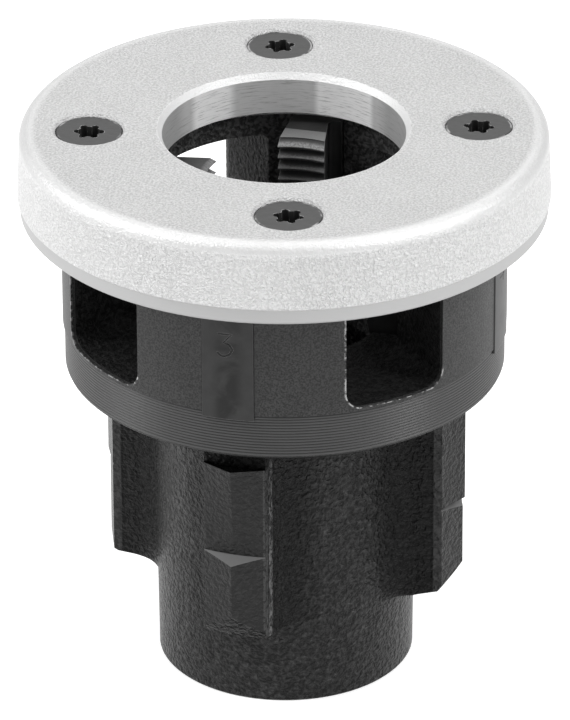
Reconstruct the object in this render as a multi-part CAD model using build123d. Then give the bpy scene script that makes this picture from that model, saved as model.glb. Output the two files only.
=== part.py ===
from build123d import *
import math
import os

# Pipe threading die head for 3/4 inch taper pipe thread, standing on its pipe guide.
# Millimetres. Z runs up the pipe's axis, z = 0 is the mouth of the pipe guide.
# Angles are degrees counter-clockwise seen from the cover, counted from -Y.

# Number of chasers, and so of slots, lugs, chip windows and screws
PLACES = 4
STEP_ANGLE = 360 / PLACES

# Pipe guide tube
GUIDE_RADIUS = 13.8
GUIDE_CHAMFER = 1.0
TUBE_RADIUS = 19.2
TUBE_FOOT_TAPER = 0.15
TUBE_LENGTH = 48.05
TUBE_EDGE = 0.25
CAST_FILLET = 3.0

# Octagon lugs that seat in the ratchet
LUG_WIDTH = 9.3
LUG_RIDGE_RADIUS = 27.5
LUG_UPPER_RIDGE_RADIUS = 27.8
LUG_FLAT_ANGLE = 22.5
LUG_DRAFT = 0.3
LUG_ROOT_FILLET = 6.0
LUG_TURN = -2.4
LUG_FOOT = 13.4
LUG_NECK_RADIUS = 25.7
LUG_NECK_LENGTH = 5.35
TOE_START = 2.6
TOE_MIDDLE = 6.2
TOE_SECTOR = 72.0

# Rise of each toe at its middle and at the ridge, from the front lug counter-clockwise
TOE_RISES = ((0.95, 6.4), (1.1, 4.65), (0.95, 6.4), (0.2, 1.45))

# The front lug is relieved: its ridge leans in towards the lower end of each stretch
RELIEVED_RIDGES_BELOW = (26.9, 27.6)
RELIEVED_RIDGES_ABOVE = (26.0, 28.2)

# Latch groove turned into the lugs
GROOVE_TOP = 28.5
GROOVE_RADIUS = 25.9
GROOVE_LAND = 0.3
GROOVE_CONE_ANGLE = 37.0

# Turned ring and drum
RING_RADIUS = 32.35
RING_HEIGHT = 7.15
RING_CHAMFER = 0.4
DRUM_RADIUS = 32.75
DRUM_HEIGHT = 22.55
DRUM_CHAMFER = 0.5
CHAMBER_RADIUS = 20.7
CHAMBER_STEP = 0.5

# Chip windows through the drum wall, as side distances from each window's centre line
WINDOW_SIDES = ((-8.4, 7.7), (-8.4, 7.7), (-8.4, 7.7), (-7.3, 10.7))
WINDOW_CORNER = 2.6
WINDOW_TOP_CORNER = 1.2
WINDOW_BRIDGE = 3.3

# Chasers and their slots; the front chaser is the one on -Y
FRONT_CHASER = 3
CHASER_WIDTH = 7.7
CHASER_RADIUS = 32.9
SLOT_CLEARANCE = 0.06
SLOT_DROP = 0.8
SLOT_RELIEF_RADIUS = 0.4

# Taper pipe thread, 14 turns to the inch, 1 in 16 on the diameter
PITCH = 25.4 / 14
CREST_RADIUS = 11.55
CREST_FLAT = 0.12
FLANK_ANGLE = 30.0
TAPER_PER_SIDE = 1 / 32
TOP_CREST_DEPTH = 1.02
THROAT_LENGTH = 7.0
THROAT_OPENING = 1.7

# Rake ground on the leading side of each chaser
RAKE_CREST_STEP = 0.75
RAKE_DEPTH = 1.9
RAKE_END_RADIUS = 18.4
RAKE_WHEEL_RADIUS = 1.2

# Cover
COVER_BORE_RADIUS = 17.8
COVER_THICKNESS = 7.9
COVER_LIP_WIDTH = 0.7
COVER_LIP_HEIGHT = 0.9
COVER_RECESS = 1.65
COVER_RADIUS = 39.05
COVER_DRAFT = 0.35
COVER_ROUND = 1.7
COVER_BAND_RADIUS = 38.7
COVER_BAND_HEIGHT = 2.2
SKIRT_DEPTH = 4.55
SKIRT_CLEARANCE = 0.05
COVER_EDGE = 0.3

# Countersunk cover screws, M5
SCREW_CIRCLE_RADIUS = 28.4
SCREW_ANGLE = 15.75
SCREW_RADIUS = 2.5
SCREW_LENGTH = 16.0
SCREW_HEAD_RADIUS = 4.9
SCREW_HEAD_LAND = 0.35
SCREW_SINK = 0.35
SCREW_POINT = 0.6
SCREW_CLEARANCE = 0.08
SCREW_HOLE_RADIUS = 2.75
THREAD_CLEARANCE = 0.02
TAP_DEPTH_SPARE = 2.0
RECESS_RADIUS = 2.25
RECESS_LOBES = 6
RECESS_LOBE_RADIUS = 0.55
RECESS_CORE_RADIUS = 1.88
RECESS_DEPTH = 2.2
RECESS_TURNS = (0, 4, 28, 12)

# Reach of the cutting tools past the part
CUT = 5.0

# Sizes that follow from the ones above
TUBE_FOOT_RADIUS = TUBE_RADIUS - TUBE_FOOT_TAPER
LUG_EDGE_RADIUS = LUG_RIDGE_RADIUS - LUG_WIDTH / 2 * math.tan(math.radians(LUG_FLAT_ANGLE))
LUG_REACH = LUG_UPPER_RIDGE_RADIUS + CUT
RING_TOP = TUBE_LENGTH + RING_HEIGHT
DRUM_TOP = RING_TOP + DRUM_HEIGHT
CHAMBER_FLOOR = RING_TOP + CHAMBER_STEP
SLOT_FLOOR = RING_TOP - SLOT_DROP
COVER_TOP = DRUM_TOP + COVER_THICKNESS
SKIRT_LOW = DRUM_TOP - SKIRT_DEPTH
SKIRT_RADIUS = CHASER_RADIUS + SKIRT_CLEARANCE
SCREW_TOP = COVER_TOP - SCREW_SINK
NECK_LOW = TUBE_LENGTH - LUG_NECK_LENGTH


def turned(points):
    """Solid of revolution about Z from a closed outline of (radius, height) points."""
    outline = Polyline(*[(r, 0, z) for r, z in points], close=True)
    return revolve(make_face(outline), Axis.Z)


def at_angle(shape, angle):
    """Shape drawn on the +X side, turned to an angle counted from -Y."""
    return Rot(0, 0, angle - 90) * shape


def around(shape):
    """Copies of a shape at every place round the axis."""
    return [at_angle(shape, STEP_ANGLE * k) for k in range(PLACES)]


def quarter_set_back(radius):
    """Distance of a quarter round's middle point from each of the two sides."""
    return radius * (1 - math.sqrt(1 / 2))


def tube_and_drum():
    """Foot, ring and drum, still solid, joined by a core inside the tube's wall."""
    core_radius = (GUIDE_RADIUS + TUBE_RADIUS) / 2
    fillet_start = (TUBE_RADIUS, 0, TUBE_LENGTH - CAST_FILLET)
    fillet_end = (TUBE_RADIUS + CAST_FILLET, 0, TUBE_LENGTH)
    set_back = quarter_set_back(CAST_FILLET)
    fillet_middle = (TUBE_RADIUS + set_back, 0, TUBE_LENGTH - set_back)
    low = Polyline(
        (0, 0, 0),
        (TUBE_FOOT_RADIUS - TUBE_EDGE, 0, 0),
        (TUBE_FOOT_RADIUS, 0, TUBE_EDGE),
        (TUBE_RADIUS, 0, LUG_FOOT),
        (core_radius, 0, LUG_FOOT),
        (core_radius, 0, TUBE_LENGTH - CAST_FILLET),
        fillet_start,
    )
    corner = ThreePointArc(fillet_start, fillet_middle, fillet_end)
    high = Polyline(
        fillet_end,
        (RING_RADIUS - RING_CHAMFER, 0, TUBE_LENGTH),
        (RING_RADIUS, 0, TUBE_LENGTH + RING_CHAMFER),
        (RING_RADIUS, 0, RING_TOP),
        (DRUM_RADIUS, 0, RING_TOP),
        (DRUM_RADIUS, 0, DRUM_TOP - DRUM_CHAMFER),
        (DRUM_RADIUS - DRUM_CHAMFER, 0, DRUM_TOP),
        (0, 0, DRUM_TOP),
        (0, 0, 0),
    )
    return revolve(make_face(low + corner + high), Axis.Z)


def guide_and_chamber():
    """Cutter for the pipe's guide bore, chamfered at both ends, and the chip chamber."""
    return turned(
        (
            (0, -CUT),
            (GUIDE_RADIUS + GUIDE_CHAMFER, -CUT),
            (GUIDE_RADIUS + GUIDE_CHAMFER, 0),
            (GUIDE_RADIUS, GUIDE_CHAMFER),
            (GUIDE_RADIUS, CHAMBER_FLOOR - GUIDE_CHAMFER),
            (GUIDE_RADIUS + GUIDE_CHAMFER, CHAMBER_FLOOR),
            (CHAMBER_RADIUS, CHAMBER_FLOOR),
            (CHAMBER_RADIUS, DRUM_TOP + CUT),
            (0, DRUM_TOP + CUT),
        )
    )


def lug_plan(ridge_radius):
    """Plan of one lug on the +X side: two octagon flats that meet at a ridge."""
    half = LUG_WIDTH / 2
    inner = (GUIDE_RADIUS + TUBE_RADIUS) / 2
    return make_face(
        Polyline(
            (inner, -half - LUG_DRAFT),
            (LUG_EDGE_RADIUS, -half),
            (ridge_radius, 0),
            (LUG_EDGE_RADIUS, half),
            (inner, half + LUG_DRAFT),
            close=True,
        )
    )


def lug_angle(place):
    """Angle of a lug, by its place from the front lug counter-clockwise."""
    return STEP_ANGLE * place + LUG_TURN


def tube_plan(ridge_radii):
    """Section across the tube with the lugs of the given places, and their root fillets."""
    plan = Circle(TUBE_RADIUS)
    for place, ridge_radius in ridge_radii.items():
        plan = plan + at_angle(lug_plan(ridge_radius), lug_angle(place))
    roots = [v for v in plan.vertices() if math.hypot(v.X, v.Y) < TUBE_RADIUS + LUG_DRAFT]
    return fillet(roots, LUG_ROOT_FILLET)


def relieved_ridge(low, high, ridge_radii):
    """Ridge of the front lug between two heights, leaning in at its lower end."""
    low_plan = Pos(0, 0, low) * lug_plan(ridge_radii[0])
    high_plan = Pos(0, 0, high) * lug_plan(ridge_radii[1])
    return at_angle(loft([low_plan, high_plan], ruled=True), lug_angle(0))


def toe_cut(middle_rise, outer_rise):
    """Ring sector that bevels the underside of one lug on the +X side."""
    start = TUBE_RADIUS + TOE_START
    middle = TUBE_RADIUS + TOE_MIDDLE
    slope = (outer_rise - middle_rise) / (LUG_UPPER_RIDGE_RADIUS - middle)
    wedge = make_face(
        Polyline(
            (start, 0, LUG_FOOT),
            (middle, 0, LUG_FOOT + middle_rise),
            (LUG_REACH, 0, LUG_FOOT + middle_rise + slope * (LUG_REACH - middle)),
            (LUG_REACH, 0, LUG_FOOT - CUT),
            (start, 0, LUG_FOOT - CUT),
            close=True,
        )
    )
    return Rot(0, 0, -TOE_SECTOR / 2) * revolve(wedge, Axis.Z, revolution_arc=TOE_SECTOR)


def latch_groove():
    """Groove with a conical lower side, cut round the lugs."""
    cone_top = GROOVE_TOP - GROOVE_LAND
    drop = (LUG_REACH - GROOVE_RADIUS) * math.tan(math.radians(GROOVE_CONE_ANGLE))
    return turned(
        (
            (GROOVE_RADIUS, GROOVE_TOP),
            (GROOVE_RADIUS, cone_top),
            (LUG_REACH, cone_top - drop),
            (LUG_REACH, GROOVE_TOP),
        )
    )


def lug_neck():
    """Relief turned into the lugs just below the ring."""
    return turned(
        (
            (LUG_NECK_RADIUS, NECK_LOW),
            (LUG_REACH, NECK_LOW),
            (LUG_REACH, TUBE_LENGTH),
            (LUG_NECK_RADIUS, TUBE_LENGTH),
        )
    )


def octagon_drive():
    """Tube with its four lugs, of which the front one is relieved."""
    lower_lugs = {0: RELIEVED_RIDGES_BELOW[0]}
    upper_lugs = {0: RELIEVED_RIDGES_ABOVE[0]}
    for place in range(1, PLACES):
        lower_lugs[place] = LUG_RIDGE_RADIUS
        upper_lugs[place] = LUG_UPPER_RIDGE_RADIUS
    lower = extrude(Pos(0, 0, LUG_FOOT) * tube_plan(lower_lugs), GROOVE_TOP - LUG_FOOT)
    upper = extrude(Pos(0, 0, GROOVE_TOP) * tube_plan(upper_lugs), TUBE_LENGTH - GROOVE_TOP)
    drive = lower + relieved_ridge(LUG_FOOT, GROOVE_TOP, RELIEVED_RIDGES_BELOW) - latch_groove()
    upper = upper + relieved_ridge(GROOVE_TOP, TUBE_LENGTH, RELIEVED_RIDGES_ABOVE)
    drive = drive + (upper - lug_neck())
    for place, rises in enumerate(TOE_RISES):
        drive = drive - at_angle(toe_cut(*rises), lug_angle(place))
    return drive


def chip_window(low_side, high_side):
    """Cutter for one chip window on the +X side, with rounded corners."""
    width = high_side - low_side
    height = DRUM_TOP - WINDOW_BRIDGE - CHAMBER_FLOOR
    outline = Rectangle(width, height)
    low_corners = outline.vertices().sort_by(Axis.Y)[:2]
    outline = fillet(low_corners, WINDOW_CORNER)
    high_corners = outline.vertices().sort_by(Axis.Y)[-2:]
    outline = fillet(high_corners, WINDOW_TOP_CORNER)
    start = (CHAMBER_RADIUS + GUIDE_RADIUS) / 2
    place = Plane(
        origin=(start, (low_side + high_side) / 2, CHAMBER_FLOOR + height / 2),
        x_dir=(0, 1, 0),
        z_dir=(1, 0, 0),
    )
    return extrude(place * outline, DRUM_RADIUS + CUT - start)


def chaser_slot():
    """Cutter for one chaser slot on the +X side, with relieved bottom corners."""
    width = CHASER_WIDTH + 2 * SLOT_CLEARANCE
    length = DRUM_RADIUS + CUT
    height = DRUM_TOP + CUT - SLOT_FLOOR
    slot = Pos(length / 2, 0, SLOT_FLOOR + height / 2) * Box(length, width, height)
    relief = Pos(length / 2, 0, 0) * (Rot(0, 90, 0) * Cylinder(SLOT_RELIEF_RADIUS, length))
    for side in (-1, 1):
        slot = slot + Pos(0, side * width / 2, SLOT_FLOOR) * relief
    return slot


def screw_places():
    """Centres of the four cover screws, as (x, y)."""
    centre = Vector(SCREW_CIRCLE_RADIUS, 0)
    angles = [SCREW_ANGLE + STEP_ANGLE * k - 90 for k in range(PLACES)]
    return [centre.rotate(Axis.Z, angle) for angle in angles]


def tapped_hole():
    """Cutter for a cover screw's hole in the body."""
    depth = SCREW_TOP - SCREW_LENGTH - TAP_DEPTH_SPARE
    height = DRUM_TOP + CUT - depth
    return Pos(0, 0, depth + height / 2) * Cylinder(SCREW_RADIUS + THREAD_CLEARANCE, height)


def make_body():
    """Cast and turned body in one piece."""
    body = tube_and_drum() + octagon_drive() - guide_and_chamber()
    for cutter in around(chaser_slot()):
        body = body - cutter
    for k, sides in enumerate(WINDOW_SIDES):
        body = body - at_angle(chip_window(*sides), STEP_ANGLE * (k + 0.5))
    for place in screw_places():
        body = body - Pos(place.X, place.Y, 0) * tapped_hole()
    return body


def thread_form(lead_turn):
    """Turned plug with annular ridges; its outside is what the chaser teeth follow."""
    depth = (PITCH / 2 - CREST_FLAT) / math.tan(math.radians(FLANK_ANGLE))
    below = math.ceil((DRUM_TOP - SLOT_FLOOR) / PITCH) + 1
    turns = below + math.ceil(CUT / PITCH) + 1
    first = DRUM_TOP - TOP_CREST_DEPTH - PITCH / 2 + (lead_turn - below) * PITCH
    points = [(0, first)]
    for n in range(turns):
        root = first + n * PITCH
        crest = root + PITCH / 2
        shift = (DRUM_TOP - crest) * TAPER_PER_SIDE
        points.append((CREST_RADIUS + depth + shift, root - CREST_FLAT / 2))
        points.append((CREST_RADIUS + depth + shift, root + CREST_FLAT / 2))
        points.append((CREST_RADIUS + shift, crest - CREST_FLAT / 2))
        points.append((CREST_RADIUS + shift, crest + CREST_FLAT / 2))
    points.append((0, points[-1][1]))
    return turned(points)


def throat():
    """Cone that opens the lowest teeth for the pipe's entry."""
    base = CREST_RADIUS + DRUM_HEIGHT * TAPER_PER_SIDE
    wide = base + THROAT_OPENING
    return turned(
        (
            (0, SLOT_FLOOR - CUT),
            (wide, SLOT_FLOOR - CUT),
            (wide, SLOT_FLOOR),
            (base, SLOT_FLOOR + THROAT_LENGTH),
            (0, SLOT_FLOOR + THROAT_LENGTH),
        )
    )


def rake_cut():
    """Slanted face ground along the leading side of a chaser on the +X side."""
    side = -CHASER_WIDTH / 2
    slope = (RAKE_DEPTH - RAKE_CREST_STEP) / (RAKE_END_RADIUS - CREST_RADIUS)
    end = side + RAKE_DEPTH
    low = SLOT_FLOOR - CUT
    height = DRUM_TOP + CUT - low
    plan = make_face(
        Polyline(
            (0, side - CUT),
            (RAKE_END_RADIUS, side - CUT),
            (RAKE_END_RADIUS, end),
            (0, end - slope * RAKE_END_RADIUS),
            close=True,
        )
    )
    wheel = Pos(RAKE_END_RADIUS, end - RAKE_WHEEL_RADIUS) * Circle(RAKE_WHEEL_RADIUS)
    return Pos(0, 0, low) * extrude(plan + wheel, height)


def make_chaser(number):
    """Chaser of the given number, with its teeth a part of a turn on from the last."""
    height = DRUM_TOP - SLOT_FLOOR
    middle = SLOT_FLOOR + height / 2
    blank = Pos(CHASER_RADIUS / 2, 0, middle) * Box(CHASER_RADIUS, CHASER_WIDTH, height)
    blank = blank & Pos(0, 0, middle) * Cylinder(CHASER_RADIUS, height)
    teeth = blank - thread_form((number - 1) / PLACES) - throat()
    return at_angle(teeth - rake_cut(), STEP_ANGLE * (number - FRONT_CHASER))


def cover_outline():
    """Section of the cover, without its screw holes."""
    rough_low = SKIRT_LOW + COVER_BAND_HEIGHT
    step_high = rough_low + COVER_RADIUS - COVER_BAND_RADIUS
    top_radius = COVER_RADIUS - COVER_DRAFT
    outer_back = quarter_set_back(COVER_ROUND)
    under = Polyline(
        (COVER_BORE_RADIUS, 0, COVER_TOP - COVER_LIP_HEIGHT),
        (COVER_BORE_RADIUS, 0, DRUM_TOP + COVER_RECESS),
        (CHAMBER_RADIUS, 0, DRUM_TOP + COVER_RECESS),
        (CHAMBER_RADIUS, 0, DRUM_TOP),
        (SKIRT_RADIUS, 0, DRUM_TOP),
        (SKIRT_RADIUS, 0, SKIRT_LOW + COVER_EDGE),
        (SKIRT_RADIUS + COVER_EDGE, 0, SKIRT_LOW),
        (COVER_BAND_RADIUS - COVER_EDGE, 0, SKIRT_LOW),
        (COVER_BAND_RADIUS, 0, SKIRT_LOW + COVER_EDGE),
        (COVER_BAND_RADIUS, 0, rough_low),
        (COVER_RADIUS, 0, step_high),
        (top_radius, 0, COVER_TOP - COVER_ROUND),
    )
    outer = ThreePointArc(
        (top_radius, 0, COVER_TOP - COVER_ROUND),
        (top_radius - outer_back, 0, COVER_TOP - outer_back),
        (top_radius - COVER_ROUND, 0, COVER_TOP),
    )
    face = Polyline(
        (top_radius - COVER_ROUND, 0, COVER_TOP),
        (COVER_BORE_RADIUS + COVER_LIP_WIDTH, 0, COVER_TOP),
        (COVER_BORE_RADIUS, 0, COVER_TOP - COVER_LIP_HEIGHT),
    )
    return make_face(under + outer + face)


def countersink():
    """Cutter for one cover screw: clearance hole and 90 degree countersink."""
    sink_radius = SCREW_HEAD_RADIUS + SCREW_CLEARANCE
    cone_top = SCREW_TOP - SCREW_HEAD_LAND
    cone_low = cone_top - (sink_radius - SCREW_HOLE_RADIUS)
    return turned(
        (
            (0, DRUM_TOP - CUT),
            (SCREW_HOLE_RADIUS, DRUM_TOP - CUT),
            (SCREW_HOLE_RADIUS, cone_low),
            (sink_radius, cone_top),
            (sink_radius, SCREW_TOP),
            (sink_radius + SCREW_SINK + CUT, COVER_TOP + CUT),
            (0, COVER_TOP + CUT),
        )
    )


def make_cover():
    """Cast cover with a turned bore and a skirt round the drum."""
    cover = revolve(cover_outline(), Axis.Z)
    for place in screw_places():
        cover = cover - Pos(place.X, place.Y, 0) * countersink()
    return cover


def lobed_recess():
    """Cutter for the six-lobed drive recess."""
    plan = RegularPolygon(RECESS_CORE_RADIUS, RECESS_LOBES)
    lobe = Pos(RECESS_RADIUS - RECESS_LOBE_RADIUS, 0) * Circle(RECESS_LOBE_RADIUS)
    for n in range(RECESS_LOBES):
        plan = plan + Rot(0, 0, 360 / RECESS_LOBES * n) * lobe
    return Pos(0, 0, SCREW_TOP - RECESS_DEPTH) * extrude(plan, RECESS_DEPTH + CUT)


def cover_screw():
    """Countersunk screw on the Z axis, at its seated height."""
    cone_top = SCREW_TOP - SCREW_HEAD_LAND
    cone_low = cone_top - (SCREW_HEAD_RADIUS - SCREW_RADIUS)
    tip = SCREW_TOP - SCREW_LENGTH
    shape = turned(
        (
            (0, tip),
            (SCREW_RADIUS - SCREW_POINT, tip),
            (SCREW_RADIUS, tip + SCREW_POINT),
            (SCREW_RADIUS, cone_low),
            (SCREW_HEAD_RADIUS, cone_top),
            (SCREW_HEAD_RADIUS, SCREW_TOP - SCREW_HEAD_LAND / 2),
            (SCREW_HEAD_RADIUS - SCREW_HEAD_LAND / 2, SCREW_TOP),
            (0, SCREW_TOP),
        )
    )
    return shape - lobed_recess()


def make_screws():
    """The four cover screws, each turned to its own angle."""
    screw = cover_screw()
    turned_screws = [Rot(0, 0, turn) * screw for turn in RECESS_TURNS]
    placed = [Pos(p.X, p.Y, 0) * s for p, s in zip(screw_places(), turned_screws)]
    return Compound(children=placed)


def write_parts():
    """One file for each separate piece."""
    os.makedirs("parts", exist_ok=True)
    export_step(make_body(), "parts/die_head_body.step")
    export_step(make_cover(), "parts/cover.step")
    for number in range(1, PLACES + 1):
        export_step(make_chaser(number), f"parts/chaser_{number}.step")
    export_step(make_screws(), "parts/cover_screws.step")


write_parts()
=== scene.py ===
# %% [markdown]
# Pipe threading die head
#
# The object is a round tool that cuts a taper thread on a pipe. Its solids were drawn
# in CAD, and they come in here as a fixed frame. Blender's work is to give them their
# real finishes and the fine detail that a CAD model leaves out: cast skin, turning
# marks, worn edges and stamped numbers. Everything is in metres, with +Z up.

# %% Load the frame
import bmesh
import bpy
import math
from mathutils import Matrix, Vector


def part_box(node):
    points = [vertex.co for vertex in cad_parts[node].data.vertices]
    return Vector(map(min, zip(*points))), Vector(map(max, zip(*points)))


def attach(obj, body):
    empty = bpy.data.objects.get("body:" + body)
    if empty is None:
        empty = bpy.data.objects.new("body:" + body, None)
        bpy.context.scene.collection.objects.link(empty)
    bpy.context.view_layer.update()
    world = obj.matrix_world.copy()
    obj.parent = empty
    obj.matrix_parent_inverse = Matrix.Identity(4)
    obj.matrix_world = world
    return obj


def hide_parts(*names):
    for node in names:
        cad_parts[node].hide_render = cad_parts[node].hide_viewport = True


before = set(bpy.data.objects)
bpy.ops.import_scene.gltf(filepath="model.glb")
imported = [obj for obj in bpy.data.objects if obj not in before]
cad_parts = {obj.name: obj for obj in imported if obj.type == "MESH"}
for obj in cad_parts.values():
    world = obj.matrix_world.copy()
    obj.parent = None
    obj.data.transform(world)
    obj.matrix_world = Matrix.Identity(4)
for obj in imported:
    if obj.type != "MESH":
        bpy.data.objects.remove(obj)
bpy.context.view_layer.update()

MM = 0.001
print("nodes:", sorted(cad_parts))

# %% [markdown]
# The camera comes first, because every finish is judged from where the photograph was
# taken. A long lens far away keeps the round edges nearly alike at the top and at the
# foot. It looks down at nearly 28 degrees, from a little to the right of the front
# chaser. The angles were found by fitting the round edges of cover, ring and tube.

# %% Camera
VIEW_ANGLE = math.radians(14.6)
VIEW_HEIGHT = math.radians(27.708)
VIEW_ROLL = math.radians(-0.241)
VIEW_DISTANCE = 1.0778
AIM = Vector((0, 0, 47.3 * MM))
LENS = 364.05
SENSOR = 36.0


def direction(angle, height):
    """Unit vector from the object: angle is counted from -Y towards +X, height from level."""
    level = Vector((math.sin(angle), -math.cos(angle), 0)) * math.cos(height)
    return level + Vector((0, 0, math.sin(height)))


def facing(back, place):
    """Matrix of a camera or lamp at a place, which looks along minus the back direction."""
    right = Vector((0, 0, 1)).cross(back).normalized()
    up = back.cross(right)
    turn = Matrix((right, up, back)).transposed().to_4x4()
    return Matrix.Translation(place) @ turn


lens = bpy.data.cameras.new("camera")
lens.sensor_fit = "VERTICAL"
lens.sensor_height = SENSOR
lens.lens = LENS
lens.clip_start = 0.05
lens.clip_end = 20
camera = bpy.data.objects.new("camera", lens)
bpy.context.scene.collection.objects.link(camera)
back = direction(VIEW_ANGLE, VIEW_HEIGHT)
camera.matrix_world = facing(back, AIM + back * VIEW_DISTANCE) @ Matrix.Rotation(VIEW_ROLL, 4, "Z")
bpy.context.scene.camera = camera
print("camera at", tuple(round(c, 4) for c in camera.matrix_world.translation))

# %% [markdown]
# Materials here are made of nodes, which could also be placed by hand in the shader
# editor. In a script they are easier to read through three short helpers: one sets or
# links a socket, one adds a node with its inputs, and one does arithmetic.

# %% Adding nodes
class Nodes:
    """A node tree with short ways to add nodes to it."""

    def __init__(self, tree):
        self.tree = tree

    def put(self, socket, value):
        """Links the socket to another one, or sets its number or colour."""
        if isinstance(value, bpy.types.NodeSocket):
            self.tree.links.new(value, socket)
        else:
            socket.default_value = value

    def add(self, kind, inputs=None, **settings):
        """Adds a shader node, with its settings and inputs."""
        made = self.tree.nodes.new("ShaderNode" + kind)
        for name, value in settings.items():
            setattr(made, name, value)
        for key, value in (inputs or {}).items():
            self.put(made.inputs[key], value)
        return made

    def calc(self, operation, *values):
        """Arithmetic on numbers and sockets."""
        made = self.add("Math", operation=operation)
        for socket, value in zip(made.inputs, values):
            self.put(socket, value)
        return made.outputs[0]


print("node helpers ready")

# %% [markdown]
# A mask is a number from 0 to 1 that says where on the object a finish lies. Masks
# could be painted as pictures, but this object's surfaces are told apart by height,
# radius and angle, so soft steps on those numbers place them exactly. Two masks are
# joined by a product, which keeps what both hold, or by the greater of the two.

# %% Masks and blends
class Masks(Nodes):
    """Nodes that make masks, and that blend numbers and colours with them."""

    def step(self, value, low, high):
        """Mask that goes softly from 0 at low to 1 at high."""
        inputs = {"Value": value, "From Min": low, "From Max": high}
        return self.add("MapRange", inputs, interpolation_type="SMOOTHSTEP").outputs[0]

    def between(self, value, low, high, soft):
        """Mask that is 1 between low and high, with soft edges."""
        return self.both(self.step(value, low - soft, low), self.step(value, high + soft, high))

    def both(self, *masks):
        """Mask that is 1 where all the given ones are; a plain number among them weakens it."""
        joined = masks[0]
        for mask in masks[1:]:
            joined = self.calc("MULTIPLY", joined, mask)
        return joined

    def either(self, *masks):
        """Mask that is 1 where any of the given ones is."""
        joined = masks[0]
        for mask in masks[1:]:
            joined = self.calc("MAXIMUM", joined, mask)
        return joined

    def opposite(self, mask):
        """Mask that is 1 where the given one is 0."""
        return self.calc("SUBTRACT", 1.0, mask)

    def number(self, mask, first, second):
        """First number where the mask is 0, second where it is 1."""
        made = self.add("Mix", data_type="FLOAT")
        for index, value in zip((0, 2, 3), (mask, first, second)):
            self.put(made.inputs[index], value)
        return made.outputs[0]

    def colour(self, mask, first, second):
        """First colour where the mask is 0, second where it is 1."""
        made = self.add("Mix", data_type="RGBA")
        for index, value in zip((0, 6, 7), (mask, first, second)):
            self.put(made.inputs[index], value)
        return made.outputs[2]


def grey(level):
    """Neutral colour."""
    return (level, level, level, 1.0)


print("mask helpers ready")

# %% [markdown]
# Each finish is one material, which starts with the place of the shaded point on the
# object: its height, its distance from the axis and its angle round it. They come from
# the object's own coordinates, so that a finish stays where it is when the camera
# moves. Pieces that are set round the axis four times share one flat pair of
# coordinates, and worn edges are found by comparing a rounded normal with the true one.

# %% Finishes
QUARTER = math.pi / 2


class Finish(Masks):
    """A new material with its shader and the place of the shaded point on the object."""

    def __init__(self, name):
        self.material = bpy.data.materials.new(name)
        self.material.use_nodes = True
        super().__init__(self.material.node_tree)
        self.shader = self.tree.nodes["Principled BSDF"]
        self.where = self.add("TexCoord").outputs["Object"]
        self.x, self.y, self.height = self.add("SeparateXYZ", {0: self.where}).outputs
        self.radius = self.length(self.x, self.y)
        self.angle = self.calc("ARCTAN2", self.y, self.x)
        self.true_normal = self.add("NewGeometry").outputs["True Normal"]
        self.tilt = self.add("SeparateXYZ", {0: self.true_normal}).outputs[2]

    def length(self, along, across):
        """Distance of a point in a plane from the plane's middle."""
        flat = self.add("CombineXYZ", {0: along, 1: across}).outputs[0]
        return self.add("VectorMath", {0: flat}, operation="LENGTH").outputs[1]

    def one_of_four(self, middle):
        """Ways across and outwards that are alike at four places, one at the middle angle."""
        from_middle = self.calc("SUBTRACT", self.angle, middle)
        turn = self.calc("WRAP", from_middle, QUARTER / 2, -QUARTER / 2)
        across = self.calc("MULTIPLY", self.radius, self.calc("SINE", turn))
        outwards = self.calc("MULTIPLY", self.radius, self.calc("COSINE", turn))
        return across, outwards

    def noise(self, scale, detail=2.0, roughness=0.5, distortion=0.0, where=None):
        """Smooth random pattern, from 0 to 1, with the given number of waves per metre."""
        inputs = {"Vector": where or self.where, "Scale": scale, "Detail": detail}
        inputs.update({"Roughness": roughness, "Distortion": distortion})
        return self.add("TexNoise", inputs).outputs["Fac"]

    def ragged(self, value, scale, reach):
        """The value, moved to and fro by noise by up to half the reach."""
        shift = self.calc("SUBTRACT", self.noise(scale, 3), 0.5)
        return self.calc("ADD", value, self.calc("MULTIPLY", shift, reach))

    def edges(self, reach, low, high):
        """Mask that is 1 within reach of a sharp edge."""
        rounded = self.add("Bevel", {"Radius": reach}, samples=8).outputs[0]
        inputs = {0: rounded, 1: self.true_normal}
        likeness = self.add("VectorMath", inputs, operation="DOT_PRODUCT").outputs[1]
        return self.step(likeness, low, high)

    def bump(self, height, depth, strength=1.0):
        """Normals of a skin that is as high as the depth where height is 1."""
        inputs = {"Strength": strength, "Distance": depth, "Height": height}
        return self.add("Bump", inputs).outputs[0]

    def set(self, **inputs):
        """Fills the shader's inputs; an underscore in a name stands for a space."""
        for name, value in inputs.items():
            self.put(self.shader.inputs[name.replace("_", " ")], value)


def dress(name, finish):
    """Gives a CAD node its finish."""
    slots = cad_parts[name].data.materials
    slots.clear()
    slots.append(finish.material)


print("finish helpers ready")

# %% [markdown]
# The floor and the surroundings are plain and pale, as in a catalogue picture. They
# could be lit until they are white, but that would wash the object out too. So what the
# camera and the mirror rays see is made white by itself, while the surfaces are lit by
# a quieter world. The floor is matt enough to keep a faint shadow.

# %% Floor and world
WORLD_LIGHT = 0.48
FLOOR_SIZE = 6.0
FLOOR_GLOW = 0.62
FLOOR_COLOUR = grey(0.75)

floor_mesh = bpy.data.meshes.new("floor")
builder = bmesh.new()
bmesh.ops.create_grid(builder, x_segments=1, y_segments=1, size=FLOOR_SIZE / 2)
builder.to_mesh(floor_mesh)
builder.free()
floor = bpy.data.objects.new("floor", floor_mesh)
bpy.context.scene.collection.objects.link(floor)


def seen_directly(nodes):
    """Mask that is 1 for camera, mirror and glass rays."""
    path = nodes.add("LightPath").outputs
    return nodes.either(path["Is Camera Ray"], path["Is Glossy Ray"], path["Is Transmission Ray"])


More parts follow.
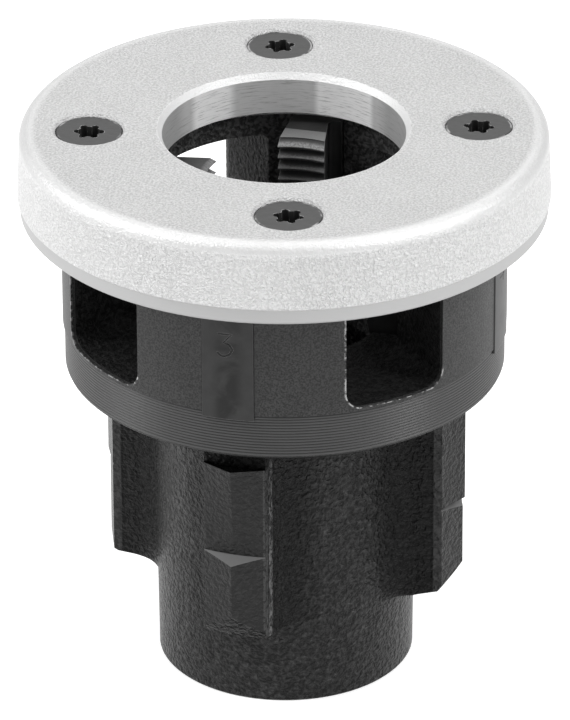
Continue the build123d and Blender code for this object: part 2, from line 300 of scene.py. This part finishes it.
paper = bpy.data.materials.new("white_paper")
paper.use_nodes = True
sheet = Masks(paper.node_tree)
sheet.tree.nodes.remove(sheet.tree.nodes["Principled BSDF"])
matt = sheet.add("BsdfDiffuse", {"Color": FLOOR_COLOUR}).outputs[0]
glow = sheet.add("Emission", {"Strength": sheet.both(seen_directly(sheet), FLOOR_GLOW)}).outputs[0]
surface = sheet.add("AddShader", {0: matt, 1: glow}).outputs[0]
sheet.put(sheet.tree.nodes["Material Output"].inputs["Surface"], surface)
floor_mesh.materials.append(paper)

world = bpy.data.worlds.new("studio")
world.use_nodes = True
bpy.context.scene.world = world
sky = Masks(world.node_tree)
background = sky.tree.nodes["Background"].inputs
sky.put(background["Color"], grey(1.0))
sky.put(background["Strength"], sky.number(seen_directly(sky), WORLD_LIGHT, 1.0))
print("floor", FLOOR_SIZE, "m wide, world light", WORLD_LIGHT)

# %% [markdown]
# Three soft lamps shape the object. A tall narrow one stands at each side, and its
# reflection gives the black body one of its two soft streaks and the cover's rounding
# its highlight. A broad one behind and above brightens the cover's top. Round or small
# lamps would leave spots on the black where the photograph has long streaks.

# %% Lamps
LAMP_DISTANCE = 0.8
LAMPS = {
    "lamp_behind": {"angle": 170, "height": 60, "size": (0.5, 0.5), "power": 1.3},
    "lamp_left": {"angle": -86, "height": 40, "size": (0.14, 0.6), "power": 3.3},
    "lamp_right": {"angle": 66, "height": 42, "size": (0.1, 0.6), "power": 2.9},
}
for name, lamp in LAMPS.items():
    light = bpy.data.lights.new(name, "AREA")
    light.shape = "RECTANGLE"
    light.size, light.size_y = lamp["size"]
    light.energy = lamp["power"]
    holder = bpy.data.objects.new(name, light)
    bpy.context.scene.collection.objects.link(holder)
    back = direction(VIEW_ANGLE + math.radians(lamp["angle"]), math.radians(lamp["height"]))
    holder.matrix_world = facing(back, AIM + back * LAMP_DISTANCE)
bpy.context.scene.view_settings.view_transform = "Standard"
print("lamps:", ", ".join(LAMPS))

# %% [markdown]
# The cover is cast aluminium that was blasted and left matt. Three places on it are
# turned smooth: the bore, its chamfered lip and the narrow band at the foot. They could
# be three materials on three sets of faces, but each lies at its own radius and height,
# so masks in one material find them without touching the CAD mesh. The rounding at the
# edge is rubbed a little smoother by hands, and it is also painted paler as a painted
# highlight.

# %% Places on the cover
COVER_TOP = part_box("cover")[1].z
COVER_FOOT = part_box("cover")[0].z
BORE_RADIUS = 17.8 * MM
LIP_END = BORE_RADIUS + 0.7 * MM
LIP_FOOT = COVER_TOP - 0.9 * MM
BAND_TOP = COVER_FOOT + 2.2 * MM
SIDE_TOP = COVER_TOP - 1.7 * MM
ROUNDING_START = 35.9 * MM
ROUNDING_MIDDLE = 37.2 * MM
ROUNDING_DEPTH = 2.3 * MM

cover = Finish("blasted_cover")
near_bore = cover.step(cover.ragged(cover.radius, 900, 0.5 * MM), LIP_END + 0.12 * MM, LIP_END)
below_lip = cover.step(cover.height, LIP_FOOT + 0.05 * MM, LIP_FOOT - 0.05 * MM)
in_bore = cover.both(near_bore, below_lip)
in_band = cover.step(cover.height, BAND_TOP + 0.2 * MM, BAND_TOP)
on_side = cover.step(cover.height, SIDE_TOP + 1 * MM, SIDE_TOP)
on_rounding = cover.step(cover.height, COVER_TOP - ROUNDING_DEPTH, COVER_TOP - 1.1 * MM)
rubbed_and_highlit = cover.both(cover.step(cover.radius, ROUNDING_START, ROUNDING_MIDDLE), on_rounding)
print("cover top at", round(COVER_TOP / MM, 2), "mm")

# %% [markdown]
# Blasting leaves fine pebbles on the top and a coarser, worm-like skin on the side. As
# geometry they would need millions of faces, so they are a bump made of noise. The
# colour follows the same relief: the pits are painted darker as painted shade, and the
# peaks paler as painted light.

# %% Blasted skin
TOP_GRAIN = 3000
SIDE_GRAIN = 2700
TOP_GRAIN_DEPTH = 0.42 * MM
SIDE_GRAIN_DEPTH = 0.56 * MM
LEVEL = 0.5

top_grain = cover.noise(TOP_GRAIN, 2, 0.6, 0.3)
side_grain = cover.noise(SIDE_GRAIN, 2, 0.55, 0.6)
skin = cover.number(on_side, top_grain, side_grain)
half_smooth = cover.both(cover.either(near_bore, rubbed_and_highlit), 0.65)
smooth = cover.either(half_smooth, in_bore, in_band)
relief = cover.number(smooth, skin, LEVEL)
depth = cover.number(on_side, TOP_GRAIN_DEPTH, SIDE_GRAIN_DEPTH)

mottle = cover.noise(120, 3)
# Pits darker and peaks paler: painted shade and light in the blasted relief.
pits = cover.colour(on_side, cover.colour(mottle, grey(0.43), grey(0.5)), grey(0.68))
peaks = cover.colour(on_side, cover.colour(mottle, grey(0.6), grey(0.65)), grey(0.8))
blasted = cover.colour(cover.step(skin, 0.4, 0.6), pits, peaks)
# The rounding is painted paler: rubbed wear and a painted highlight.
blasted = cover.colour(cover.both(rubbed_and_highlit, 0.8), blasted, grey(0.65))
print("grain:", TOP_GRAIN, "and", SIDE_GRAIN, "waves per metre")

# %% [markdown]
# The bore's wall was turned on a lathe. Turned metal mirrors its surroundings in broad
# pale and dark zones that run up and down, and fine scratches run round it. A mirror
# finish in a plain white studio would show no zones, so they are painted reflections,
# laid on by angle as colour. The scratches are noise on the unrolled wall, squeezed in
# height. The zones come again after half a turn, so the wall looks alike from the front
# and from the back.

# %% Turned bore
SCRATCH_SQUEEZE = 14

around = cover.calc("MULTIPLY", cover.angle, BORE_RADIUS)
squeezed = cover.calc("MULTIPLY", cover.height, SCRATCH_SQUEEZE)
unrolled = cover.add("CombineXYZ", {0: around, 1: squeezed}).outputs[0]
scratches = cover.step(cover.noise(330, 5, 0.65, where=unrolled), 0.48, 0.78)
half_turn = cover.calc("WRAP", cover.angle, math.pi, 0.0)


def reflection_zone(start, end, soft):
    """Mask of a stretch of the bore's wall that holds a painted reflection zone, in degrees of half a
    turn.
    """
    return cover.between(half_turn, math.radians(start), math.radians(end), math.radians(soft))


pale_reflection = cover.either(reflection_zone(60, 87, 4), reflection_zone(133, 150, 6))
# Pale and dark zones on the wall: painted reflections.
wall = cover.colour(pale_reflection, grey(0.54), grey(0.92))
wall = cover.colour(reflection_zone(56, 156, 12), grey(0.38), wall)
wall = cover.colour(scratches, wall, grey(0.2))
lip_or_band = cover.colour(in_band, grey(0.72), grey(0.5))
turned = cover.colour(in_bore, lip_or_band, wall)

cover.set(
    Base_Color=cover.colour(cover.either(near_bore, in_band), blasted, turned),
    Metallic=cover.number(in_bore, cover.number(rubbed_and_highlit, 0.5, 0.8), 0.0),
    Roughness=cover.number(rubbed_and_highlit, 0.54, 0.45),
    Normal=cover.bump(relief, depth),
)
dress("cover", cover)
print("cover dressed")

# %% [markdown]
# The body is an iron casting, blackened all over. The drum and the ring were turned
# before blackening, so they are satin. The tube and the inside keep the pebbled skin of
# the sand mould, and the lugs' flats are milled and lie between the two. Height and
# distance from the axis tell all these apart.

# %% Places on the body
TUBE_TOP = 48.05 * MM
RING_TOP = 55.2 * MM
TURNED_RADIUS = 32.1 * MM
LUG_START = 22.5 * MM
GROOVE_TOP = 31 * MM

body = Finish("black_cast_body")
above_tube = body.step(body.height, TUBE_TOP - 0.1 * MM, TUBE_TOP + 0.1 * MM)
below_ring = body.opposite(above_tube)
outside = body.step(body.radius, TURNED_RADIUS - 0.1 * MM, TURNED_RADIUS)
inside = body.both(above_tube, body.opposite(outside))
turned = body.both(above_tube, outside)
milled = body.both(body.step(body.radius, LUG_START, LUG_START + 2 * MM), below_ring)
below_groove_top = body.step(body.height, GROOVE_TOP, GROOVE_TOP - 1 * MM)
machined_and_highlit_groove = body.both(milled, below_groove_top, body.step(body.tilt, 0.3, 0.5))
print("tube up to", round(TUBE_TOP / MM, 2), "mm, ring up to", round(RING_TOP / MM, 2), "mm")

# %% [markdown]
# A sand mould leaves pebbles on slow waves. Both are noise in one bump, which is weaker
# on the milled flats and nearly gone where the metal was turned. Modelled pebbles would
# look no better at this size.

# %% Cast skin
PEBBLES = 1500
PEBBLE_DEPTH = 0.72 * MM

pebbles = body.noise(PEBBLES, 2, 0.5, 0.4)
waves = body.calc("MULTIPLY", body.noise(300, 2), 0.6)
cast_part = body.both(body.number(milled, 1.0, 0.6), body.opposite(machined_and_highlit_groove))
cast_relief = body.calc("MULTIPLY", body.calc("ADD", pebbles, waves), cast_part)
turned_relief = body.calc("MULTIPLY", body.noise(2600, 2), 0.05)
body_relief = body.number(turned, cast_relief, turned_relief)
print("pebbles:", PEBBLES, "waves per metre,", round(PEBBLE_DEPTH / MM, 2), "mm deep")

# %% [markdown]
# The chip windows have ragged bright rims where burrs were knocked off after milling.
# Burrs could be modelled, but only their shine can be seen, so the black is worn off at
# the windows' sharp edges: down their left side and along the sill, broken by noise.

# %% Window rims
WINDOW_HALF = 11.5 * MM
LEFT_SIDE = -6.4 * MM
SILL = 58.7 * MM

window_across, _ = body.one_of_four(QUARTER / 2)
near_left = body.step(body.ragged(window_across, 700, 0.6 * MM), LEFT_SIDE, LEFT_SIDE - 0.6 * MM)
near_sill = body.step(body.height, SILL, SILL - 1 * MM)
in_window = body.between(window_across, -WINDOW_HALF, WINDOW_HALF, 0.2 * MM)
above_ring = body.step(body.height, RING_TOP + 0.35 * MM, RING_TOP + 0.45 * MM)
sharp = body.edges(0.6 * MM, 0.985, 0.92)
rim = body.both(body.either(near_left, near_sill), in_window, above_ring, outside, sharp)
worn = body.both(rim, body.step(body.noise(PEBBLES, 2), 0.45, 0.62))
print("window rims ready")

# %% [markdown]
# The four lugs fit into the ratchet's octagon seat, and their flanks show it. Near the
# outer edge each flank has a narrow strip painted paler as a painted highlight, with a
# dark line of painted shade inside it. Further in, the root is painted dark as painted
# shade. The front lug's right flank is painted brighter all over, as a painted
# highlight. These are differences of colour more than of form, so masks on the way out
# from the axis and on the way to the side draw them.

# %% Lug flanks
LUG_TURN = math.radians(-2.4)
LUG_HALF = 4.5 * MM
STRIP_START = 24.25 * MM
ROOT_END = 24.3 * MM
NECK_FOOT = 42.4 * MM
NECK_RADIUS = 26.0 * MM

lug_across, lug_out = body.one_of_four(LUG_TURN)
lug_away = body.calc("ABSOLUTE", lug_across)
on_flank = body.step(lug_away, LUG_HALF - 0.2 * MM, LUG_HALF)
on_flank = body.both(on_flank, below_ring, body.step(body.height, 9 * MM, 10 * MM))
# Paler strip along the flank's outer edge: painted highlight; the line inside it: painted shade.
strip_highlight = body.both(on_flank, body.step(lug_out, STRIP_START, STRIP_START + 0.2 * MM))
strip_shade_line = body.between(lug_out, STRIP_START - 0.3 * MM, STRIP_START - 0.05 * MM, 0.12 * MM)
strip_shade_line = body.both(on_flank, strip_shade_line)

# Front lug's right flank: painted highlight.
flank_highlight = body.both(
    body.between(lug_across, LUG_HALF, LUG_HALF + 0.6 * MM, 0.15 * MM),
    body.between(lug_out, LUG_START, 25.7 * MM, 0.5 * MM),
    body.step(body.y, -15 * MM, -18 * MM),
    below_ring,
)
root = body.both(
    body.step(lug_away, 11 * MM, 6 * MM),
    body.step(lug_out, ROOT_END, ROOT_END - 0.3 * MM),
    body.between(body.height, 14 * MM, 46 * MM, 1.5 * MM),
    body.opposite(flank_highlight),
)
in_neck = body.both(
    body.between(body.height, NECK_FOOT, TUBE_TOP, 0.1 * MM),
    milled,
    body.step(body.radius, NECK_RADIUS, NECK_RADIUS - 0.2 * MM),
)
# Undersides and the gap under the ring: painted shade.
shaded_undersides = body.either(body.step(body.tilt, -0.1, -0.3), in_neck)
painted_shade = body.either(inside, shaded_undersides, root)
print("lugs turned by", round(math.degrees(LUG_TURN), 1), "degrees")

# %% [markdown]
# Blackened iron is not one black. Pits are painted darker as painted shade, pebbles'
# tips carry painted glints, and the turned metal has fine specks and oily smudges. The
# colour is built up in layers from cast to turned to painted shade, each laid over the
# last one by its mask. The back of the inside is painted paler, as painted light that
# falls on it through the bore.

# %% Body colours
smudge = body.noise(130, 4, 0.6, 0.6)
speck = body.step(body.noise(3800, 2, 0.6), 0.35, 0.65)
turned_black = body.colour(speck, grey(0.014), body.colour(smudge, grey(0.032), grey(0.08)))
raised = body.step(pebbles, 0.4, 0.62)
# Highest pebble tips get a paler colour: painted glints.
glint_tips = body.step(pebbles, 0.61, 0.72)
# Pits of the cast skin darker than the raised pebbles: painted shade.
cast_black = body.colour(raised, grey(0.004), body.colour(smudge, grey(0.008), grey(0.018)))
cast_black = body.colour(glint_tips, cast_black, grey(0.045))
cast_black = body.colour(body.both(milled, 0.8), cast_black, grey(0.009))
# Paler raised pebbles on the front lug's right flank: painted highlight.
cast_black = body.colour(body.both(flank_highlight, raised), cast_black, grey(0.16))
# Paler raised pebbles in the outer strip: painted highlight.
cast_black = body.colour(body.both(strip_highlight, raised), cast_black, grey(0.035))
# Up-facing groove floor painted pale: partly machined metal, partly a painted highlight.
cast_black = body.colour(machined_and_highlit_groove, cast_black, grey(0.15))

# The inside is darker at the front as painted shade, and paler at the back as painted light falling in
# through the bore.
lit_back_of_inside = body.step(body.y, 2 * MM, 10 * MM)
inner_pits = body.colour(lit_back_of_inside, grey(0.004), grey(0.035))
inner_tops = body.colour(lit_back_of_inside, grey(0.016), grey(0.1))
black = body.colour(turned, cast_black, turned_black)
# Inside, undersides and lug roots painted darker as painted shade.
black = body.colour(painted_shade, black, body.colour(raised, grey(0.002), grey(0.009)))
# Dark line inside the flank strip: painted shade.
black = body.colour(strip_shade_line, black, grey(0.002))
black = body.colour(inside, black, body.colour(raised, inner_pits, inner_tops))
print("body colours ready")

# %% [markdown]
# The reflection is tinted as well, because a black casting seen in a white studio would
# look grey all over. Pits, roots and undersides face other metal more than the studio,
# and their reflection is dimmed. Turned metal is a little duller than the cast skin.

# %% Body finish
evened = body.either(turned, body.both(milled, 0.7))
shine = body.colour(body.either(evened, raised), grey(0.6), grey(1.0))
shine = body.colour(body.either(painted_shade, strip_shade_line), shine, grey(0.35))
body.set(
    Base_Color=body.colour(worn, black, grey(0.42)),
    Metallic=body.both(worn, 0.8),
    Roughness=body.number(inside, body.number(turned, 0.33, 0.46), 0.7),
    Specular_IOR_Level=0.29,
    Specular_Tint=body.colour(shaded_undersides, shine, grey(0.05)),
    Normal=body.bump(body_relief, PEBBLE_DEPTH),
)
dress("die_head_body", body)
print("body dressed")

# %% [markdown]
# The chasers are the toothed blades. Each has a number from 1 to 4 stamped on its outer
# end, so that it goes back into the right slot. A stamped number is a groove along a
# line. A thin tube that follows the strokes makes such a groove when it is cut away,
# and a curve with a round bevel gives that tube from a few points.

# %% Number cutter
CHASER_END = 32.9 * MM
NUMBER_PLACE = (-0.3 * MM, 66.4 * MM)
NUMBER_SIZE = (2.4, 3.6)
STROKE_RADIUS = 0.17 * MM
FRONT_CHASER = 3
STROKES = {
    1: ((0.4, 2.9), (1.2, 3.6), (1.2, 0)),
    2: ((0, 2.8), (0.5, 3.5), (1.2, 3.6), (1.9, 3.3), (2.2, 2.6), (1.9, 1.9), (0, 0), (2.3, 0)),
    3: (
        (0.1, 3.6), (2.2, 3.6), (1.0, 2.2), (1.8, 2.0), (2.3, 1.2),
        (1.9, 0.4), (1.2, 0), (0.5, 0.1), (0, 0.6),
    ),
    4: ((1.7, 0), (1.7, 3.6), (0, 1.1), (2.4, 1.1)),
}


def solid_of(holder):
    """Mesh of an object with its modifiers and bevels applied."""
    evaluated = holder.evaluated_get(bpy.context.evaluated_depsgraph_get())
    return bpy.data.meshes.new_from_object(evaluated)


def number_cutter(number):
    """Thin tube along the strokes of a number, laid on the chaser's round end."""
    line = bpy.data.curves.new("strokes", "CURVE")
    line.dimensions = "3D"
    line.bevel_depth = STROKE_RADIUS
    line.bevel_resolution = 2
    line.use_fill_caps = True
    turn = math.radians(90 * (number - FRONT_CHASER))
    strokes = line.splines.new("POLY")
    strokes.points.add(len(STROKES[number]) - 1)
    for point, (across, up) in zip(strokes.points, STROKES[number]):
        sideways = NUMBER_PLACE[0] + (across - NUMBER_SIZE[0] / 2) * MM
        height = NUMBER_PLACE[1] + (up - NUMBER_SIZE[1] / 2) * MM
        out = math.sqrt(CHASER_END ** 2 - sideways ** 2)
        flat = Matrix.Rotation(turn, 3, "Z") @ Vector((sideways, -out, height))
        point.co = (*flat, 1)
    holder = bpy.data.objects.new("strokes", line)
    bpy.context.scene.collection.objects.link(holder)
    tube = bpy.data.objects.new("number_cutter", solid_of(holder))
    bpy.context.scene.collection.objects.link(tube)
    bpy.data.objects.remove(holder)
    return tube


print("numbers:", sorted(STROKES))

# %% [markdown]
# Cutting a number leaves long thin faces round it, and smooth shading would bend the
# light across them. The chaser's round end is part of a turned surface about the axis,
# so the true normals are known, and they are written onto its faces.

# %% Normals of round faces
FLATTEST_SIDE = 0.1
ROUND_LIKENESS = 0.99


def round_normals(mesh):
    """Gives the faces of every turned surface the true normals of its round."""
    normals = []
    for face in mesh.polygons:
        level = Vector((face.normal.x, face.normal.y, 0))
        middle = Vector((face.center.x, face.center.y, 0)).normalized()
        inward = level.dot(middle)
        is_round = level.length > FLATTEST_SIDE and abs(inward) > ROUND_LIKENESS * level.length
        for index in face.vertices:
            place = mesh.vertices[index].co
            if is_round:
                level = Vector((place.x, place.y, 0)).normalized() * inward
                normals.append((level.x, level.y, face.normal.z))
            else:
                normals.append(face.normal)
    mesh.normals_split_custom_set(normals)


print("faces count as round from a likeness of", ROUND_LIKENESS)

# %% [markdown]
# Each stamped chaser starts as a merged copy of its CAD mesh. Its long edges are broken
# a little with a bevel, because a perfectly sharp edge would catch no light, and then
# its number is cut in with a boolean. The copy takes the plain chaser's place.

# %% Stamped chasers
MERGE_DISTANCE = 1e-6
FLAT_ANGLE = math.radians(0.5)
SHARP_ANGLE = math.radians(40)
LONG_EDGE = 8 * MM
EDGE_BREAK = 0.12 * MM


def is_long_corner(edge):
    """Says whether an edge of a bmesh is long and sharp enough to be broken."""
    return edge.calc_length() > LONG_EDGE and edge.calc_face_angle(0) > SHARP_ANGLE


def broken_edges(number):
    """Mesh of a chaser with its long edges broken."""
    builder = bmesh.new()
    builder.from_mesh(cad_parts[f"chaser_{number}"].data)
    bmesh.ops.remove_doubles(builder, verts=builder.verts, dist=MERGE_DISTANCE)
    bmesh.ops.dissolve_limit(builder, angle_limit=FLAT_ANGLE, verts=builder.verts, edges=builder.edges)
    bmesh.ops.bevel(
        builder, geom=[edge for edge in builder.edges if is_long_corner(edge)],
        offset=EDGE_BREAK, offset_type="OFFSET", segments=2,
        profile=0.5, affect="EDGES", clamp_overlap=True, material=-1,
    )
    bmesh.ops.recalc_face_normals(builder, faces=builder.faces)
    mesh = bpy.data.meshes.new(f"stamped_chaser_{number}")
    builder.to_mesh(mesh)
    builder.free()
    return mesh


def stamped_chaser(number):
    """Chaser with broken edges and its number cut in, in place of the plain one."""
    piece = bpy.data.objects.new(f"stamped_chaser_{number}", broken_edges(number))
    bpy.context.scene.collection.objects.link(piece)
    cutter = number_cutter(number)
    cut = piece.modifiers.new("number", "BOOLEAN")
    cut.operation = "DIFFERENCE"
    cut.solver = "EXACT"
    cut.use_self = True
    cut.object = cutter
    solid = solid_of(piece)
    piece.modifiers.clear()
    piece.data = solid
    bpy.data.objects.remove(cutter)
    round_normals(solid)
    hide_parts(f"chaser_{number}")
    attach(piece, "root")
    return piece


chasers = [stamped_chaser(number) for number in STROKES]
print("chaser faces:", [len(piece.data.polygons) for piece in chasers])

# %% [markdown]
# The chasers are hardened tool steel, dark from heat treatment. Where they cut they are
# rubbed bright: on the crests, on a speckled band along the front of the top and along
# the broken edges. The band is also painted much brighter on the front and back
# chasers than on the two at the sides, as painted light. The outer end has a dark oily
# stain. Masks on the distance along the chaser put each of these in its place, and one
# finish serves all four.

# %% Chaser finish
CREST_RADIUS = 11.55 * MM
GROUND_END = 15.35 * MM
CHASER_TOP = 77.75 * MM

steel = Finish("tool_steel")
far_x = steel.calc("ABSOLUTE", steel.x)
far_y = steel.calc("ABSOLUTE", steel.y)
along = steel.calc("MAXIMUM", far_x, far_y)
front_or_back = steel.step(steel.calc("SUBTRACT", far_y, far_x), 0, 1 * MM)
on_top = steel.step(steel.height, CHASER_TOP - 0.1 * MM, CHASER_TOP - 0.05 * MM)
ground_wear_and_light = steel.both(on_top, steel.step(along, GROUND_END + 0.1 * MM, GROUND_END))
# Front and back chasers get the band far stronger than the side ones: painted light.
ground_wear_and_light = steel.calc("MULTIPLY", ground_wear_and_light, steel.number(front_or_back, 0.1, 1.9))
upper = steel.step(steel.height, 72 * MM, 77 * MM)
crest = steel.step(steel.radius, CREST_RADIUS + 1.1 * MM, CREST_RADIUS + 0.4 * MM)
crest = steel.both(crest, steel.number(upper, 0.22, 0.8))
speckle = steel.step(steel.noise(3500, 3, 0.6), 0.35, 0.6)
bright = steel.both(steel.either(crest, ground_wear_and_light), steel.number(speckle, 0.45, 1.0))
bright = steel.either(bright, steel.both(steel.edges(0.2 * MM, 0.97, 0.8), 0.6))

grain = steel.noise(500, 4, 0.6)
middle = steel.step(steel.calc("MINIMUM", far_x, far_y), 2.8 * MM, 0.8 * MM)
at_end = steel.step(along, 31 * MM, 32 * MM)
stain = steel.both(middle, steel.step(steel.noise(150, 4, 0.6, 0.6), 0.4, 0.6), at_end)
dark = steel.colour(grain, grey(0.022), grey(0.05))
dark = steel.colour(stain, dark, grey(0.012))
steel.set(
    Base_Color=steel.colour(bright, dark, grey(0.28)),
    Metallic=steel.number(bright, 0.2, 0.6),
    Roughness=0.42,
    Specular_IOR_Level=0.3,
    Normal=steel.bump(grain, 0.06 * MM, 0.3),
)
for piece in chasers:
    piece.data.materials.clear()
    piece.data.materials.append(steel.material)
for number in STROKES:
    dress(f"chaser_{number}", steel)
print("chasers dressed:", len(chasers))

# %% [markdown]
# The cover screws are black steel with flat heads. Their rims are rubbed bright in
# places by handling. The edges of the recess carry bright specks, partly driver wear
# and partly painted glints. The four heads stand alike round the axis, so one pair of
# masks about a head's own middle serves them all.

# %% Screw finish
SCREW_CIRCLE = 28.4 * MM
SCREW_ANGLE = math.radians(15.75)
SCREW_HEAD = 4.9 * MM
RECESS_REACH = 3.2 * MM

screw = Finish("black_screw")
screw_across, screw_out = screw.one_of_four(SCREW_ANGLE)
from_middle = screw.length(screw.calc("SUBTRACT", screw_out, SCREW_CIRCLE), screw_across)
at_rim = screw.step(from_middle, SCREW_HEAD - 0.45 * MM, SCREW_HEAD - 0.15 * MM)
handled = screw.both(at_rim, screw.step(screw.noise(420, 2), 0.45, 0.62))
at_recess = screw.step(from_middle, RECESS_REACH, RECESS_REACH - 0.6 * MM)
# Bright specks at the recess edges: driver wear and painted glints.
driven_and_glinting = screw.step(screw.noise(1300, 2), 0.48, 0.6)
driven_and_glinting = screw.both(screw.edges(0.25 * MM, 0.96, 0.85), at_recess, driven_and_glinting)
rubbed_and_highlit = screw.either(handled, driven_and_glinting)
grain = screw.noise(900, 3)
screw.set(
    Base_Color=screw.colour(rubbed_and_highlit, screw.colour(grain, grey(0.014), grey(0.034)), grey(0.5)),
    Metallic=screw.both(rubbed_and_highlit, 0.8),
    Roughness=0.4,
    Normal=screw.bump(grain, 0.08 * MM, 0.5),
)
dress("cover_screws", screw)
print("screws dressed")

# %% [markdown]
# The ring under the drum carries fine turning grooves, which a hand can feel. A bump
# would do from afar, but their ridges show at the ring's outline, so they are real
# geometry: a profile of small ridges is spun round the axis. The profile is closed on
# the inside, within the casting, so the piece has no open side.

# %% Turned grooves of the ring
GROOVES = 14
GROOVE_DEPTH = 0.12 * MM
GROOVE_FLOOR = 0.01 * MM
RIDGE_START = 0.3
RIDGE_END = 0.6
BAND_THICKNESS = 0.3 * MM
RING_RADIUS = 32.35 * MM
BAND_LOW = 48.6 * MM
BAND_HIGH = 55.0 * MM
ROUND_STEPS = 192


def spun(name, profile):
    """Piece made by spinning a closed outline of (radius, height) points round Z."""
    builder = bmesh.new()
    corners = [builder.verts.new((r, 0, z)) for r, z in profile]
    edges = [builder.edges.new(pair) for pair in zip(corners, corners[1:] + corners[:1])]
    bmesh.ops.spin(
        builder, geom=corners + edges, axis=(0, 0, 1), cent=(0, 0, 0),
        angle=2 * math.pi, steps=ROUND_STEPS, use_merge=True,
    )
    bmesh.ops.remove_doubles(builder, verts=builder.verts, dist=MERGE_DISTANCE)
    bmesh.ops.recalc_face_normals(builder, faces=builder.faces)
    mesh = bpy.data.meshes.new(name)
    builder.to_mesh(mesh)
    builder.free()
    piece = bpy.data.objects.new(name, mesh)
    bpy.context.scene.collection.objects.link(piece)
    return piece


pitch = (BAND_HIGH - BAND_LOW) / GROOVES
inner = RING_RADIUS - BAND_THICKNESS
outline = [(inner, BAND_LOW), (RING_RADIUS, BAND_LOW)]
for groove in range(GROOVES):
    low = BAND_LOW + groove * pitch
    outline.append((RING_RADIUS + GROOVE_DEPTH, low + RIDGE_START * pitch))
    outline.append((RING_RADIUS + GROOVE_DEPTH, low + RIDGE_END * pitch))
    outline.append((RING_RADIUS + GROOVE_FLOOR, low + pitch))
outline.append((inner, BAND_HIGH))
ring = spun("ring_turning", outline)
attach(ring, "root")
print("ring faces:", len(ring.data.polygons))

# %% [markdown]
# The ridges are satin black, with the same oily smudges as the drum. The floors of the
# grooves are coloured nearly black, which is what makes the grooves readable from afar.
# The distance from the axis tells ridge and floor apart.

# %% Ring finish
ridged = Finish("turned_ring")
ridge_black = ridged.colour(ridged.noise(150, 4, 0.6, 0.6), grey(0.038), grey(0.075))
in_groove = ridged.step(ridged.radius, RING_RADIUS + 0.09 * MM, RING_RADIUS + 0.02 * MM)
ridged.set(Base_Color=ridged.colour(in_groove, ridge_black, grey(0.009)), Roughness=0.4)
ring.data.materials.append(ridged.material)
print("ring dressed")
